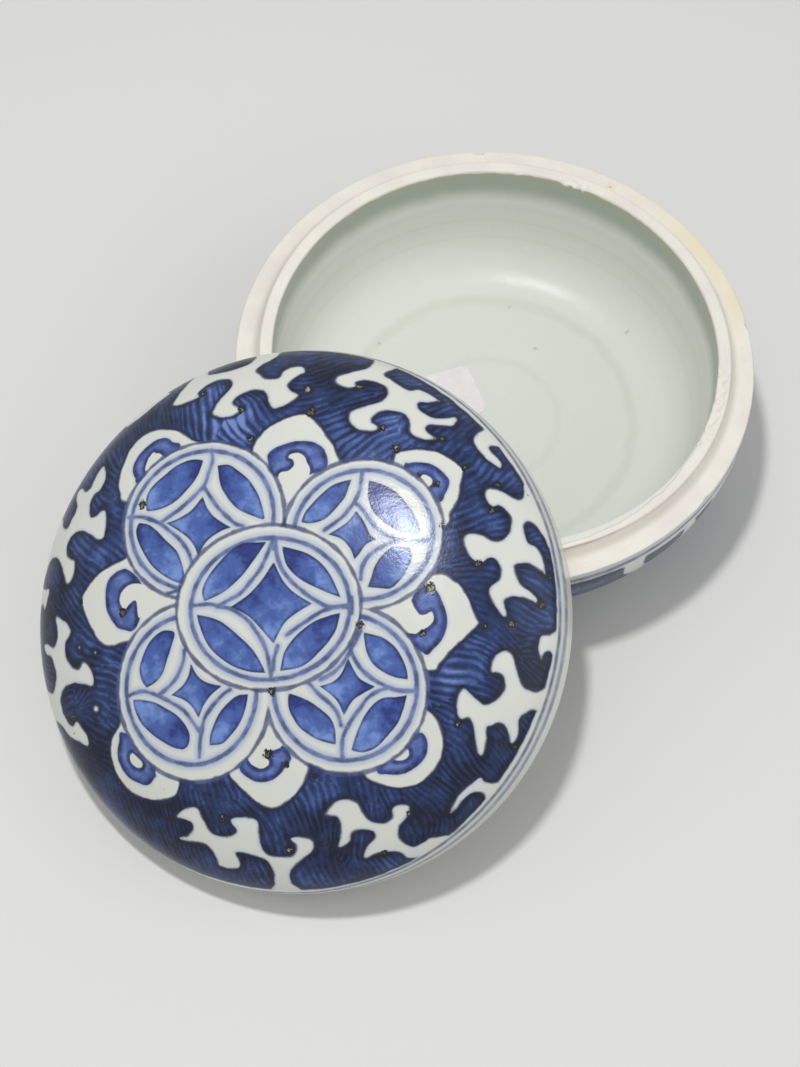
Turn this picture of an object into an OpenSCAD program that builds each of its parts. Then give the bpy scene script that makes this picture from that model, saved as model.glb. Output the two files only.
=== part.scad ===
// Round porcelain box for seal paste: a bowl on a foot ring and a domed lid that drops over the bowl's raised lip.
// The lid is off the bowl. It leans with its near edge on the table and its far side on the lip.
// The table is z = 0, the lid leans out along -Y, and the origin is under the middle of the pair.

/* [Bowl] */
// Outside radius of the bowl at the seam
seam_r = 38; // [34:0.5:46]
// Height of the unglazed ledge above the table
ledge_h = 24.5; // [22:0.5:32]
// Height of the upright band under the ledge
band_h = 3; // [1:0.5:5]
// How square the bowl's outside curve is, 2 being an ellipse
belly_power = 2.2; // [2:0.1:3]
// Outside radius of the foot ring
foot_r = 23; // [20:0.5:27]
// Width of the foot ring
foot_w = 2.6; // [2:0.2:4]
// Depth of the hollow inside the foot ring
foot_h = 2.4; // [1.5:0.1:3.5]
// Thickness of the floor
floor_t = 4.1; // [3:0.1:6]
// Radius of the flat part of the floor
floor_r = 19; // [17:0.5:22]
// How square the corner between floor and wall is, 2 being an ellipse
hollow_power = 3; // [2:0.1:4]

/* [Lip] */
// Width of the flat ledge outside the lip
ledge_w = 2.6; // [2:0.1:4]
// Width of the hollow slope between the ledge and the lip's top
cove_w = 1; // [0.5:0.1:1.5]
// Thickness of the lip at its top
lip_t = 1.9; // [1.5:0.1:3]
// Height of the lip above the ledge
lip_h = 1.8; // [1:0.1:3]

/* [Lid] */
// How far the lid's side stands in from the bowl's
lid_inset = 0.4; // [0:0.1:1]
// Height of the lid from its rim to its crown
lid_h = 17.5; // [14:0.5:24]
// Height of the lid's upright side
skirt_h = 5; // [4:0.5:8]
// How square the dome's curve is, 2 being an ellipse
dome_power = 2.6; // [2:0.05:3.2]
// Thickness of the crown
crown_t = 4.2; // [3:0.1:5]
// Height of the upright wall inside the rim
seat_h = 4; // [3:0.5:5]
// Play between the foot of the lip's slope and the lid's rim
seat_gap = 0.3; // [0.2:0.1:0.8]

/* [Leaning lid] */
// How far the lid reaches in over the bowl's ledge, edge past edge
overlap = 28; // [24:0.5:32]
// Clearance over the lip where the lid rests on it
rest_gap = 0.15; // [0.1:0.05:0.3]

/* [Paper label] */
// Width of the label
label_w = 9.2; // [6:0.2:12]
// Length of the label
label_l = 14; // [10:0.5:16]
// Thickness of the label
label_t = 0.2; // [0.1:0.05:0.4]
// Radius of the label's corners
label_corner = 1.4; // [0.5:0.1:2.5]
// Place of the label's middle across the bowl, from the bowl's axis
label_x = -8.6; // [-10:0.2:-4]
// Place of the label's middle along the bowl, from the bowl's axis
label_y = -1.9; // [-4:0.1:4]
// Turn of the label on the floor
label_turn = -36; // [-90:1:90]

/* [Edges] */
// Radius of the unglazed edges
edge_r = 0.35; // [0.2:0.05:0.6]

/* [Hidden] */
$fn = 96;
// Steps along a curved wall, and round an edge
wall_steps = 24;
edge_steps = 5;

// Radii and heights of the bowl
seat_r = seam_r - ledge_w;
lip_r = seat_r - cove_w;
lip_in_r = lip_r - lip_t;
lip_top = ledge_h + lip_h;
floor_z = foot_h + floor_t;
belly_z = ledge_h - band_h;
foot_in_r = foot_r - foot_w;
// The belly is cut off by the foot ring at this angle, and its depth follows from that
foot_angle = acos(pow(foot_r / seam_r, belly_power / 2));
belly_depth = (belly_z - foot_h) / sin(foot_angle);

// Radii of the lid, whose rim drops over the lip with the play on each side
lid_r = seam_r - lid_inset;
lid_in_r = seat_r + seat_gap;

// Points of a round edge in a half section, from angle a0 to a1
function edge(r, z, a0, a1) =
    [for (i = [0:edge_steps]) let (a = a0 + (a1 - a0) * i / edge_steps) [r + edge_r * cos(a), z + edge_r * sin(a)]];
// Points of a curved wall that is upright at radius r and height z, and rises by h on its way to the axis
function dome(r, z, h, power, end = 90) =
    [for (i = [0:wall_steps]) let (a = end * i / wall_steps) [r * pow(cos(a), 2 / power), z + h * sin(a)]];
// Points of the slope that hollows up from the ledge at radius r and height z, in by w and up by h
function cove(r, z, w, h) =
    [for (i = [0:edge_steps]) let (a = 90 * i / (edge_steps + 1)) [r - w * sin(a), z + h * (1 - cos(a))]];
// Points of a hollow that is upright at radius r and height z, and falls by h to a flat floor
function hollow(r, z, h, flat, power) =
    [for (i = [0:wall_steps]) let (a = 90 * i / wall_steps)
        [flat + (r - flat) * pow(cos(a), 2 / power), z - h * pow(sin(a), 2 / power)]];
function backwards(points) = [for (i = [len(points) - 1:-1:0]) points[i]];

// Half sections, as lists of [radius, height]
base_section = concat(
    [[0, foot_h], [foot_in_r, foot_h]],
    edge(foot_in_r + edge_r, edge_r, 180, 270),
    edge(foot_r - edge_r, edge_r, -90, 0),
    backwards(dome(seam_r, belly_z, -belly_depth, belly_power, foot_angle)),
    edge(seam_r - edge_r, ledge_h - edge_r, 0, 90),
    cove(seat_r, ledge_h, cove_w, lip_h - edge_r),
    edge(lip_r - edge_r, lip_top - edge_r, 0, 90),
    edge(lip_in_r + edge_r, lip_top - edge_r, 90, 170),
    hollow(lip_in_r, lip_top - edge_r, lip_top - edge_r - floor_z, floor_r, hollow_power),
    [[0, floor_z]]);
lid_section = concat(
    backwards(dome(lid_in_r, seat_h, lid_h - crown_t - seat_h, dome_power)),
    edge(lid_in_r + edge_r, edge_r, 180, 270),
    edge(lid_r - edge_r, edge_r, -90, 0),
    dome(lid_r, skirt_h, lid_h - skirt_h, dome_power));

// The leaning lid. Its rim plane is a circle tilted about X, its axis this far from the bowl's.
spread = seam_r + lid_r - overlap;
// Where the tilted inner rim crosses the lip's outer edge, as a share of the inner radius towards the bowl
function crossing(tilt) =
    let (a = pow(lid_in_r * sin(tilt), 2),
         b = 2 * spread * lid_in_r * cos(tilt),
         c = spread * spread + lid_in_r * lid_in_r - lip_r * lip_r)
        (sqrt(b * b + 4 * a * c) - b) / (2 * a);
// The tilt at which the rim clears the lip there and its near edge is on the table, found by repeating
function settle(tilt, steps) = steps == 0 ? tilt :
    settle(asin((lip_top + rest_gap) / (lid_r + lid_in_r * crossing(tilt))), steps - 1);
lean = settle(20, 12);
// Height of the rim plane's middle, with the near edge on the table
rim_z = max([for (p = lid_section) p[0] * sin(lean) - p[1] * cos(lean)]);

// The pair's length along Y runs from the lid's near side to the bowl's far side
reach = max([for (p = lid_section) p[0] * cos(lean) + p[1] * sin(lean)]);
base_y = (spread + reach - seam_r) / 2;
lid_y = base_y - spread;

module base() {
    color([0.9, 0.89, 0.85])
        translate([0, base_y, 0])
            rotate_extrude()
                polygon(base_section);
}

module lid() {
    color([0.24, 0.34, 0.6])
        translate([0, lid_y, rim_z])
            rotate([lean, 0, 0])
                rotate_extrude()
                    polygon(lid_section);
}

module rounded_card(w, l, r) {
    square([w - 2 * r, l], center = true);
    square([w, l - 2 * r], center = true);
    for (x = [-1, 1], y = [-1, 1])
        translate([x * (w / 2 - r), y * (l / 2 - r)])
            circle(r);
}

module paper_label() {
    color([0.96, 0.94, 0.93])
        translate([label_x, base_y + label_y, floor_z])
            rotate(label_turn)
                linear_extrude(label_t)
                    rounded_card(label_w, label_l, label_corner);
}

base();
lid();
paper_label();
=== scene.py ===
import math
from functools import partialmethod

import bpy
import numpy as np
from mathutils import Matrix, Vector


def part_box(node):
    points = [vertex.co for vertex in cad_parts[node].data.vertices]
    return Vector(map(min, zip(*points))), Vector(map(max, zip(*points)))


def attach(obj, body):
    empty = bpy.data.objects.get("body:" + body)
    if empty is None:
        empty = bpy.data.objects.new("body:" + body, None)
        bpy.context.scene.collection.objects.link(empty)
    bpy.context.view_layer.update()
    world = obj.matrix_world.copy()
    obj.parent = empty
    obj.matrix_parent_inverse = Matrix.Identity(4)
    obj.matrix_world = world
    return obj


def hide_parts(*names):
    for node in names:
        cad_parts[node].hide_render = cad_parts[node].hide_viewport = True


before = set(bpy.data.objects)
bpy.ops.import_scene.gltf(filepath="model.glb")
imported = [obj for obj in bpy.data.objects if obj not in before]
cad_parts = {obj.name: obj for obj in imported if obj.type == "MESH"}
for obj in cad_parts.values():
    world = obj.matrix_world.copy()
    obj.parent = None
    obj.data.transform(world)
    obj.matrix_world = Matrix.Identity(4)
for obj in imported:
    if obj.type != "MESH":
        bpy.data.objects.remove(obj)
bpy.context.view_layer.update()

# A millimetre in the frame's metres. All sizes below are in millimetres.
MM = 0.001

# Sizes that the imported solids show
base_low, base_high = [np.array(corner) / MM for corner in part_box("base")]
lid_low, lid_high = [np.array(corner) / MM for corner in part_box("lid")]
label_low, label_high = [np.array(corner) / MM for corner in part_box("paper_label")]
seam_r = (base_high[0] - base_low[0]) / 2
lid_r = (lid_high[0] - lid_low[0]) / 2
base_y = (base_low[1] + base_high[1]) / 2
lip_top = base_high[2]
floor_z = label_low[2]

# Bowl
lip_h = 1.8
ledge_h = lip_top - lip_h
band_h = 3
belly_power = 2.2
foot_r = 23
foot_w = 2.6
foot_h = 2.4
floor_r = 19
hollow_power = 3
ledge_w = 2.6
cove_w = 1
lip_t = 1.9
edge_r = 0.35

# Lid
lid_h = 17.5
skirt_h = 5
dome_power = 2.6
crown_t = 4.2
seat_h = 4
seat_gap = 0.3
overlap = 28
rest_gap = 0.15

# Paper label
label_w = 9.2
label_l = 14
label_t = label_high[2] - label_low[2]
label_corner = 1.4
label_turn = -36

# How far the visible skin stands inside the solids, so that it never leaves their box
SKIN_EASE = 0.03

# Camera, as the photograph was taken: angles in degrees, and the photograph's up is the lid paint's +v
VIEW_AZIMUTH = 33.08
VIEW_ELEVATION = 61.45
VIEW_ROLL = -1.43
VIEW_DISTANCE = 278.1
VIEW_AIM = (1.8, -3.8, 12.0)
VIEW_LENS = 64.1


# Shapes of the turned sections

def arc(radius, height, size, start, end, steps):
    """Points of a round edge in a half section, between two angles in degrees."""
    turn = np.radians(np.linspace(start, end, steps + 1))
    return np.column_stack([radius + size * np.cos(turn), height + size * np.sin(turn)])


def line(start, end, step):
    """Points along a straight line, about one step apart."""
    count = max(1, round(math.dist(start, end) / step))
    share = np.linspace(0, 1, count + 1)[:, None]
    return np.array(start) * (1 - share) + np.array(end) * share


def evenly(points, step):
    """The same path with its points one step apart."""
    gaps = np.hypot(*np.diff(points, axis=0).T)
    length = np.concatenate([[0], np.cumsum(gaps)])
    count = max(1, round(length[-1] / step))
    at = np.linspace(0, length[-1], count + 1)
    return np.column_stack([np.interp(at, length, points[:, i]) for i in (0, 1)])


def dome(radius, height, rise, power, start=90.0, end=0.0):
    """Points of a curved wall, from one angle to another, that is upright at its radius and height."""
    turn = np.radians(np.linspace(start, end, 2000))
    cosine = np.clip(np.cos(turn), 0, 1)
    return np.column_stack([radius * cosine ** (2 / power), height + rise * np.sin(turn)])


def joined(*stretches):
    """One path from several that follow each other, without doubled points."""
    points = [stretches[0]]
    for stretch in stretches[1:]:
        doubled = math.dist(points[-1][-1], stretch[0]) < 0.01
        points.append(stretch[1:] if doubled else stretch)
    return np.concatenate(points)


def settle_lid():
    """The leaning lid's tilt in degrees, and the height and Y of its rim's middle, as it rests on the bowl's
    lip.
    """
    lip_r = seam_r - ledge_w - cove_w
    inner = seam_r - ledge_w + seat_gap
    spread = seam_r + lid_r - overlap
    tilt = math.radians(20)
    for _ in range(12):
        a = (inner * math.sin(tilt)) ** 2
        b = 2 * spread * inner * math.cos(tilt)
        c = spread ** 2 + inner ** 2 - lip_r ** 2
        crossing = (math.sqrt(b * b + 4 * a * c) - b) / (2 * a)
        tilt = math.asin((lip_top + rest_gap) / (lid_r + inner * crossing))
    corner = lid_r - edge_r
    rim_z = corner * math.sin(tilt) - edge_r * math.cos(tilt) + edge_r
    return math.degrees(tilt), rim_z, base_y - spread


LEAN, RIM_Z, LID_Y = settle_lid()


# Turned meshes

def square_rings(count):
    """A disc as a grid of squares.

    Gives each point's ring and angle, the faces, and the outer ring's points in order.
    """
    side = 2 * count + 1
    i, j = [a.ravel() - count for a in np.meshgrid(range(side), range(side), indexing="ij")]
    ring = np.maximum(abs(i), abs(j))
    flat = abs(i) >= abs(j)
    run = np.where(flat, j / np.where(i == 0, 1, i), i / np.where(j == 0, 1, j))
    quarter = math.pi / 4
    angle = np.where(flat, quarter * run + np.where(i < 0, math.pi, 0),
                     np.where(j > 0, math.pi / 2, -math.pi / 2) - quarter * run)
    angle = np.where(ring == 0, 0, angle) % math.tau
    corner = (np.arange(side - 1)[:, None] * side + np.arange(side - 1)).ravel()
    faces = np.column_stack([corner, corner + side, corner + side + 1, corner + 1]).tolist()
    edge = np.flatnonzero(ring == count)
    return ring, angle, faces, edge[np.argsort(angle[edge])]


def turned(section, core, coarse_from):
    """A closed turned body, whose section runs from the axis round to the axis again.

    Its first rings, core of them, are a grid of squares. From the ring coarse_from on, the body has a
    quarter of the points round.
    """
    ring, angle, faces, edge = square_rings(core)
    rings, angles = [ring], [angle]
    last, made = edge, len(ring)
    for row in range(core + 1, len(section) - 1):
        count = len(last)
        thin = row == coarse_from
        kept = last[::4] if thin else last
        turn = angle[edge][:: len(edge) // len(kept)]
        new = made + np.arange(len(kept))
        made += len(kept)
        rings.append(np.full(len(kept), row))
        angles.append(turn)
        after = np.roll(new, -1)
        if thin:
            wide = np.append(last, last[0])
            for m in range(len(kept)):
                faces.append([*wide[4 * m: 4 * m + 5][::-1].tolist(), int(new[m]), int(after[m])])
        else:
            faces += np.column_stack([last, new, after, np.roll(last, -1)]).tolist()
        last = new
    rings.append(np.array([len(section) - 1]))
    angles.append(np.array([0.0]))
    faces += [[int(a), made, int(b)] for a, b in zip(last, np.roll(last, -1))]
    return np.concatenate(rings), np.concatenate(angles), faces


def lengths(section):
    """How far along the section each of its points is."""
    return np.concatenate([[0], np.cumsum(np.hypot(*np.diff(section, axis=0).T))])


def mesh_object(name, points, faces, smooth=True):
    """A mesh object from points in millimetres."""
    mesh = bpy.data.meshes.new(name)
    mesh.from_pydata((np.asarray(points) * MM).tolist(), [], faces)
    mesh.polygons.foreach_set("use_smooth", [smooth] * len(mesh.polygons))
    mesh.update()
    made = bpy.data.objects.new(name, mesh)
    bpy.context.scene.collection.objects.link(made)
    return made


def write_attribute(piece, name, *columns):
    """Three numbers for each point of the mesh, which its material reads."""
    values = np.column_stack(columns).astype(np.float32)
    attribute = piece.data.attributes.new(name, "FLOAT_VECTOR", "POINT")
    attribute.data.foreach_set("vector", values.ravel())


def write_painted(piece, name, painted, *columns):
    """Numbers for the painted points alone. Each column comes with the number that all others get."""
    full = []
    for values, other in columns:
        column = np.full(len(painted), float(other))
        column[painted] = values
        full.append(column)
    write_attribute(piece, name, *full)


# Painted outlines. Points are (u, v) in millimetres along the lid's skin from its crown. Their v points to
# the top of the photograph. A semicolon parts two outlines, and an exclamation mark makes a sharp corner.

# Distances are measured up to here, and NOWHERE stands for a measure that a part of the skin doesn't have
REACH = 2.0
NOWHERE = 99


def outline(text):
    """Given points, written as u,v pairs."""
    return np.array([[float(number) for number in pair.split(",")] for pair in text.replace("!", "").split()])


def directed(text):
    """Outlines that each come after the direction of their dark side, in degrees."""
    entries = [entry.split(":") for entry in text.split(";")]
    return [(shape, float(degrees)) for degrees, shape in entries]


def placed(text):
    """Places with one or two numbers each, written as u,v,number."""
    rows = [[float(number) for number in row.split(",")] for row in text.split()]
    return [((u, v), *numbers) for u, v, *numbers in rows]


def curve(points, before, after, steps=5):
    """A smooth curve through the points, as if it came from before and went on to after."""
    padded = np.concatenate([[before], points, [after]])
    share = np.arange(steps)[:, None] / steps
    made = []
    for k in range(len(points) - 1):
        a, b, c, d = padded[k: k + 4]
        made.append(0.5 * (2 * b + (c - a) * share + (2 * a - 5 * b + 4 * c - d) * share ** 2
                           + (3 * b - a - 3 * c + d) * share ** 3))
    return np.concatenate([*made, points[-1:]])


def stroke_path(text):
    """The smooth path of an open brush stroke."""
    points = outline(text)
    return curve(points, points[0], points[-1])


def loop_path(text):
    """The smooth path of a closed outline. A point with an exclamation mark is a sharp corner."""
    points = outline(text)
    corners = [k for k, pair in enumerate(text.split()) if "!" in pair]
    if not corners:
        return curve(np.concatenate([points, points[:1]]), points[-1], points[1])
    made = []
    for start, end in zip(corners, corners[1:] + [corners[0] + len(points)]):
        stretch = points[np.arange(start, end + 1) % len(points)]
        made.append(curve(stretch, stretch[0], stretch[-1])[:-1])
    return np.concatenate([*made, points[corners[:1]]])


def edge_distance(places, path):
    """Each place's distance to the nearest point of a path."""
    start, step = path[:-1], np.diff(path, axis=0)
    size = (step ** 2).sum(1) + 1e-12
    best = np.full(len(places), np.inf)
    for a, d, q in zip(start, step, size):
        away = places - a
        share = np.clip(away @ d / q, 0, 1)
        away = away - share[:, None] * d
        best = np.minimum(best, (away ** 2).sum(1))
    return np.sqrt(best)


def is_inside(places, loop):
    """Whether each place lies inside a closed path."""
    inside = np.zeros(len(places), bool)
    for (x0, y0), (x1, y1) in zip(loop[:-1], loop[1:]):
        if y0 == y1:
            continue
        spans = (y0 > places[:, 1]) != (y1 > places[:, 1])
        crossing = x0 + (places[:, 1] - y0) * (x1 - x0) / (y1 - y0)
        inside ^= spans & (places[:, 0] < crossing)
    return inside


def near(places, path, reach=REACH):
    """The places that may lie within reach of a path."""
    low, high = path.min(0) - reach, path.max(0) + reach
    return np.flatnonzero(((places > low) & (places < high)).all(1))


def area_distance(places, shapes):
    """Signed distance to the nearest of some closed outlines, negative inside, at most REACH."""
    found = np.full(len(places), REACH)
    which = np.zeros(len(places), int)
    for number, shape in enumerate(shapes):
        loop = loop_path(shape)
        close = near(places, loop)
        distance = edge_distance(places[close], loop)
        distance[is_inside(places[close], loop)] *= -1
        better = distance < found[close]
        found[close[better]] = distance[better]
        which[close[better]] = number
    return found, which


def stroke_distance(places, strokes):
    """Distance to the nearest of some open brush strokes, at most REACH."""
    found = np.full(len(places), REACH)
    for stroke in strokes:
        path = stroke_path(stroke)
        close = near(places, path)
        found[close] = np.minimum(found[close], edge_distance(places[close], path))
    return found


def ellipse_distance(places, centre, half):
    """Signed distance to an ellipse, good near its line."""
    across = (places - centre) / half
    share = np.hypot(*across.T) + 1e-9
    slope = np.hypot(*(across / half).T) / share + 1e-9
    return (share - 1) / slope


# The five coins: centre and half sizes of each ring's outer and inner line. The first lies on top.
COINS = [
    ((-0.6, 0.3), (12.6, 10.85), (-0.3, 0.1), (10.95, 9.4)),
    ((-10.0, 12.6), (11.7, 10.9), (-10.1, 12.6), (10.45, 9.65)),
    ((12.4, 9.6), (10.6, 10.1), (12.4, 9.5), (9.3, 8.75)),
    ((-11.3, -10.6), (11.0, 11.8), (-11.6, -10.3), (9.45, 9.9)),
    ((9.8, -10.9), (10.65, 10.9), (9.7, -10.6), (9.5, 9.5)),
]

# Blue petals and stars of each coin, each after the direction of its dark side
COIN_FILLS = [directed(text) for text in ("""
50: -9.3,1.4! -9.6,3 -8.3,5.4 -5.5,8.2 -3.8,9! -0.6,9! -3.2,5.5 -5.1,3.6 -7,2.3;
150: 1.5,8.3! 5.2,7.1 7.8,4.7 9.5,1.1! 7.2,2.1 4.3,3.6 2.2,5.6;
60: -10.4,-0.3! -7.3,-1.2 -4.8,-3.1 -2.4,-5.5 -0.8,-8.4! -3.4,-8.1 -6,-7 -8.5,-4.9 -9.8,-2.4;
40: 9.4,-0.8! 6.2,-1.7 3.6,-3.4 1.8,-5.6 1.1,-8.2! 4.1,-7.7 6.5,-5.9 8.6,-3.4;
120: 0.4,6.3! 1.5,4 3,2.2 5.6,0.5! 3.4,-0.7 1.7,-2.1 0.3,-4.6! -1.6,-2.4 -3.2,-0.8 -5.6,0.5! -3.2,2 -1.3,3.9
""", """
30: -10,20.9! -11.3,21.2 -12.8,21 -14.4,20.3 -15.9,19.2 -17.2,18.2 -18.1,17.1 -18.4,15.9 -18.2,14.3!
-16.9,14.3 -15.4,14.6 -13.9,15.3 -12.6,16.4 -11.5,17.6 -10.7,18.8;
140: -7.9,20! -6.3,20 -5,19.2 -3.4,17.8 -2.3,16.3 -1.5,14.6 -0.8,11.9! -2.1,12.4 -3.7,13.1 -5.2,14.1
-6.4,15.6 -7.3,17.2;
120: -19.3,12.8! -17.8,12.4 -16.5,11.5 -15,10 -13.4,8.5 -12.6,6.7 -12.2,5 -12.5,3.9! -13.9,4.4 -15.6,5.4
-17.1,6.7 -18.4,8.5 -19.3,10.2 -19.7,11.7;
10: -9.8,15.9! -9.1,14.1 -7.8,12.6 -5.6,11.2! -6.9,10.8 -8.4,10 -9.5,8.9 -10.2,7.3! -10.8,8.9 -12.1,10.4
-15.1,12.4! -13.6,12.8 -11.7,13.7 -10.6,14.8
""", """
30: 10.9,17! 9.8,16.8 8.3,16.3 6.9,15.2 5.6,13.9 4.6,12.7 4.1,11.4! 5.4,11.2 6.9,11.5 8.1,12.3 9.2,13.5
10,14.5 10.5,15.8;
120: 13.2,16.8! 15,16.2 16.7,15.2 18.1,13.7 19.2,12 19.9,10.6 20.1,9.2! 18.3,9.3 16.7,10 15,11.2 13.7,12.7
13.1,14.6;
200: 16.8,7.8 18.7,7.4! 18.9,6 18.1,4.3 17.1,2.9 16,2.1 14.6,2.2 13,2.4! 13.6,3.9 14,5.2 14.8,6.4 15.8,7.3;
330: 11.5,12.7! 12.3,11.7 12.9,10.6 13.5,9.3 14.3,8.7! 12.9,8.1 12.1,7 11.3,6.1! 10.8,7.5 9.6,8.9 7.7,9.6!
9.2,10.4 10.6,11.4
""", """
60: -13.6,-2.6 -14.9,-2.2 -16.1,-2.6 -17.4,-3.8 -18.3,-5.4 -18.9,-7.2 -18.6,-8.8 -17.9,-9.8! -16.5,-9.1
-15.4,-7.9 -14.7,-6.1 -14.1,-4.5;
330: -20.1,-11.3! -18.5,-11.4 -16.7,-11.8 -15.1,-12.6 -13.5,-13.6 -12.3,-15 -11.8,-16.3 -12.1,-17.6
-12.9,-18.2! -14.5,-17.8 -16,-17 -17.6,-15.9 -19,-14.5 -19.8,-12.9;
60: -3.3,-11.1! -4.7,-11.2 -6,-12 -7.4,-13.4 -8.3,-15 -8.9,-16.5 -9,-17.7! -7.2,-17.5 -5.8,-16.3 -4.7,-15
-3.8,-13.1;
20: -11.3,-6.7! -10.4,-8.4 -9,-9.4 -6.9,-9.9! -8.3,-10.9 -9.5,-12.2 -10.4,-14.1! -11.3,-12.5 -12.6,-11.5
-14.3,-10.9! -12.6,-9.7 -11.7,-8.4
""", """
20: 12.4,-3.5! 13.6,-3.8 15.2,-4.4 16.5,-5.5 17.3,-6.8 17.9,-8.3 18.1,-9.8! 16.5,-9.5 15,-8.8 13.6,-7.7
12.8,-6.2 12.5,-4.7;
110: 2.2,-11.1! 3.6,-11.6 5.2,-12.4 6.7,-13.5 7.8,-14.6 8.3,-16.2 8.3,-18! 6.7,-17.6 5.2,-16.9 3.6,-15.7
2.6,-14.2 2.1,-12.7;
40: 17.9,-11.8! 16.5,-12 14.7,-12.1 13.4,-12.9 12.3,-14.2 11.5,-15.7 10.8,-17.3 10.3,-18.8! 11.9,-19.1
13.6,-18.5 15.2,-17 16.5,-15.5 17.3,-13.8;
10: 10.3,-6.7! 11,-8.3 11.9,-9.6 13.8,-10.6! 12.3,-11.4 10.8,-12.3 9.5,-14.3! 8.9,-12.7 7.8,-11.4 6.3,-10.3!
8,-9.9 9.3,-8.8
""")]

# Fine lines of each coin that part its petals from its star
COIN_LINES = [text.split(";") for text in ("""
0.2,9 -1.3,5.7 -2.8,3.8 -4.4,2.2 -7.6,0.6;
-10.9,0.9 -8.6,1 -7.1,0.6 -5.3,0.1 -3.2,-1.4 -1.7,-3.5 -0.7,-5.5 -0.1,-9;
0.6,9 1,6.5 2.3,4.1 4.5,2 6.4,0.7 7.9,0 10.9,-0.1;
10.4,0.1 8.3,-0.1 6.2,-0.9 4.1,-2.2 2.1,-3.5;
0.8,-4.9 0.4,-6.4 0.1,-8.1;
0.4,8 0.4,9.6;
10.9,-1 10.9,1.2
""", """
-8.9,22.4 -8.7,20.7 -9.1,19.1 -9.6,17.4 -10.8,16.1 -12.6,14.6 -14.3,13.5 -15.8,12.6;
-9.6,17 -8.9,15.9 -7.8,14.4 -6.5,13 -5,11.7 -3.9,11.3;
-21,13.7 -19.1,13.6 -17.3,13 -15.8,12.3 -14.3,11.1 -12.8,9.8 -11.7,8.3 -11,6.5 -10.8,5.9;
-14.6,2.7 -12.5,3.2
""", """
12.3,18.3 12.2,16.8 11.9,15.2 11.1,13.6 10,12.2 8.8,11.2 7.3,10.2;
11.5,13.7 12.5,12.7 13.3,11.4 14.6,10 16,9 18.4,8.5 21.6,8.4;
17.9,8.5 16.3,8.3 14.6,7.5 13.1,6.4 12.3,5 12.1,3.5
""", """
-12.2,-5 -12.4,-6.5 -13.3,-8.4 -14.5,-9.7 -16,-10.8;
-21.1,-10.9 -19.5,-10.4 -18.1,-10.3 -16.3,-10.9 -14.2,-11.9 -12.4,-13.1 -11.3,-14.5 -10.4,-15.8;
-5.8,-10.4 -7.2,-11.3 -8.5,-12.7 -9.5,-14 -10.1,-15.9 -10.4,-17.5 -10.6,-19.2
""", """
12,-3.3 11.3,-4.7 10.7,-5.5 11,-6.6 11.9,-8.1 13.2,-9.4 15,-10.5 16.9,-11.2 19.1,-11.3;
5,-9.9 6.3,-11.4 7.6,-12.5 8.7,-14 9.1,-15.5;
15.4,-10.8 14.1,-11.2 12.8,-12 11.5,-13.6 10.2,-15.3 9.3,-17 9.1,-18.6 9.1,-20.1;
10.6,-5.9 9.5,-7.5 8.3,-8.6 6.5,-9.5
""")]

# The eight cloud-head petals between and behind the coins: white outside, blue inside, and white curl
CLOUD_WHITE = """
-3.1,21! -2.8,22.8 -2,24 -0.7,25.2 1.1,26.2 3,26.7 4.3,26.8! 6.2,25 8.2,22 9.4,19.5! 7,12! 0,12!;
21.8,4 24.6,2.9 25.8,1.4 26.9,-1.1 27.6,-2.6! 26.4,-3.9 24.2,-5.8 22.4,-7.7 20.8,-8.7 13,-6 13,1;
16.4,19.6 17,20.6 18.3,21 20,21.2 22.1,20.9 24,20 25.9,18.3! 25.5,16.3 25,13.9 24,12 23,10.4 15,10;
-9.8,22.6 -11.9,24.1 -13.6,25.4 -15.4,26.2 -17.5,26.6 -19.8,26.4 -21.5,25.3 -22.6,23.4 -23.2,21 -23.4,19.2
-22.9,17.5 -21.4,15.8 -12,16;
-19.5,8.4 -21.6,7.7 -23.6,7.1 -26,5.8 -27.8,4 -28.4,2.7 -27.8,0.8 -26.4,-1.7 -25.2,-3.3 -23.8,-4 -21,-3.6
-14,-2 -13,3;
-21.9,-12.6! -22.6,-14.8 -23.8,-16.3 -24.4,-17.8 -24.4,-19.5 -24,-21.3 -23.1,-23 -21.7,-24.2 -19.7,-24.9
-17,-25.1 -15,-24.5 -14.2,-23.6 -13.7,-22.3! -13,-15! -19,-13!;
-6.9,-20.6! -6.2,-22.1 -5,-23.5 -3.2,-25.2 -1,-26.3 0.8,-25.7 2.6,-24.3 3.9,-22.7 4.7,-21! 3,-15! -1,-12!
-3,-16!;
20.2,-13.6! 21.2,-14.4 22,-15.6 22.4,-17.2 22.3,-19.1 21.7,-20.8 20.7,-22.2 19.4,-23.2 17.8,-23.8 15.8,-23.9
13.8,-23.4 12.3,-22.6 11.2,-21.4! 12,-16! 18,-14!
""".split(";")
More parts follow.
